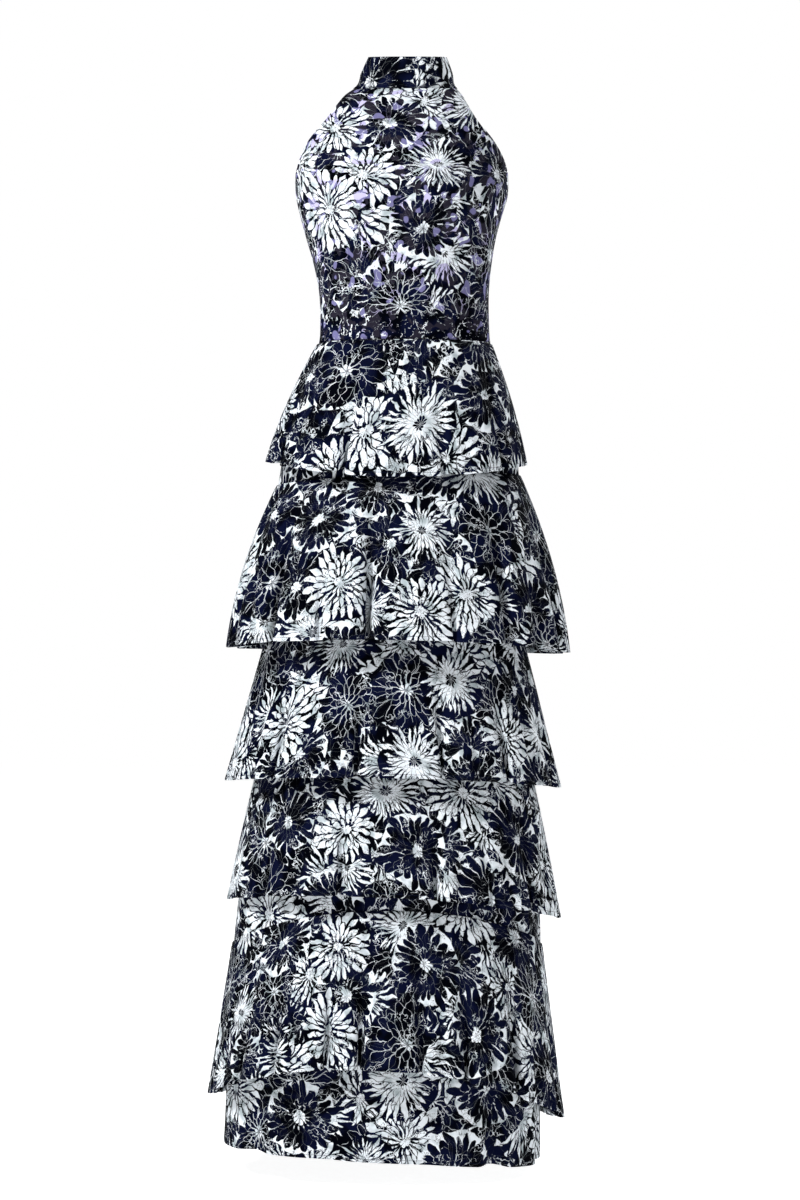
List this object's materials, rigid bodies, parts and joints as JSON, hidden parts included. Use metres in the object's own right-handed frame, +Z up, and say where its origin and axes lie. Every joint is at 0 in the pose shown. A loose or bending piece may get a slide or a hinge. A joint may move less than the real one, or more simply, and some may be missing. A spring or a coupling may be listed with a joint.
{
  "type": "evening gown",
  "caption": "Long halter evening gown with a mock neckband, a close bodice and tiers of flounces, hollow and filled out as when worn.",
  "frame": {"origin": "on the neck's axis at mid height of the neckband, where the wearer's neck holds the gown", "axes": "+Z up, -Y is the front of the gown, +X is to the right as seen from the front"},
  "size_m": [0.5067, 0.4379, 1.5492],
  "materials": {
    "printed_cloth": "navy and white flower print on fine woven cloth",
    "zip_tape_cloth": "woven zip tape",
    "zip_metal": "lacquered zinc"
  },
  "bodies": {
    "gown": {"neckband": "printed_cloth", "bodice_front": "printed_cloth", "bodice_back_plus": "printed_cloth", "bodice_back_minus": "printed_cloth", "skirt_front": "printed_cloth", "skirt_back_plus": "printed_cloth", "skirt_back_minus": "printed_cloth", "flounce_1_front": "printed_cloth", "flounce_1_back_plus": "printed_cloth", "flounce_1_back_minus": "printed_cloth", "flounce_2_front": "printed_cloth", "flounce_2_back": "printed_cloth", "flounce_3_front": "printed_cloth", "flounce_3_back": "printed_cloth", "flounce_4_front": "printed_cloth", "flounce_4_back": "printed_cloth", "flounce_5_front": "printed_cloth", "flounce_5_back": "printed_cloth", "zip_tape_plus": "zip_tape_cloth", "zip_tape_minus": "zip_tape_cloth", "zip_slider": "zip_metal"},
    "pull": {"zip_pull": "zip_metal"}
  },
  "joints": [
    {"name": "zip_pull_swing", "type": "hinge", "parent": "gown", "child": "pull", "pos_m": [-0.00034, 0.05783, 0.01884], "axis": [1, 0, 0], "range_deg": [0, 170]}
  ]
}
